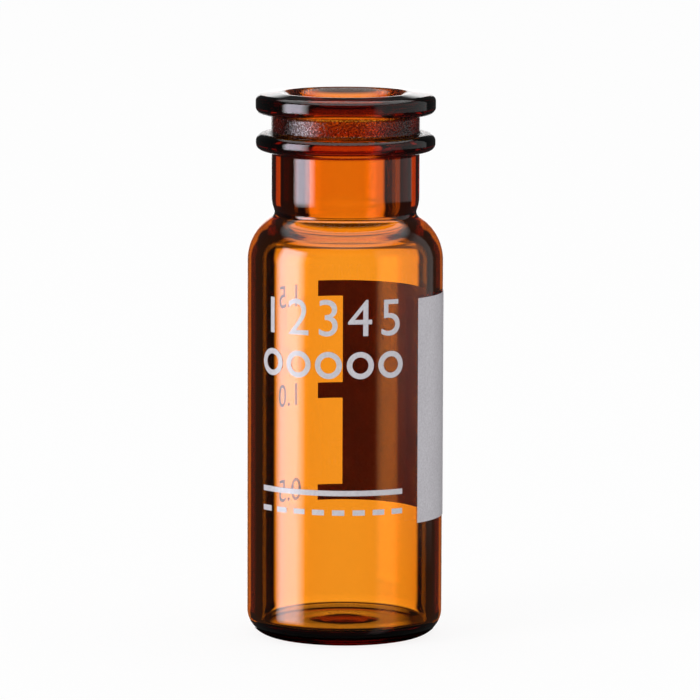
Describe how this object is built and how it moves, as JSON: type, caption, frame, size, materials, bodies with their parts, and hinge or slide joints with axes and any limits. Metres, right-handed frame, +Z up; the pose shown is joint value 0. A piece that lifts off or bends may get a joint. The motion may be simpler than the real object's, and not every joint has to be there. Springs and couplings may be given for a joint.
{
  "type": "glass sample vial",
  "caption": "Small amber glass sample vial with a rounded shoulder, narrow neck, locking bead and rolled lip, printed with a writing patch and graduation bars.",
  "frame": {"origin": "centre of the standing ring, on the surface that the vial stands on", "axes": "+Z up the vial's axis to the mouth, -Y to the front print, +X to the writing patch"},
  "size_m": [0.0116, 0.0116, 0.0323],
  "materials": {
    "amber_glass": "clear amber tubing glass, fire polished",
    "white_enamel": "fired white ceramic enamel, satin"
  },
  "bodies": {
    "root": {"vial": "amber_glass", "writing_patch": "white_enamel", "front_print": "white_enamel"}
  },
  "joints": []
}
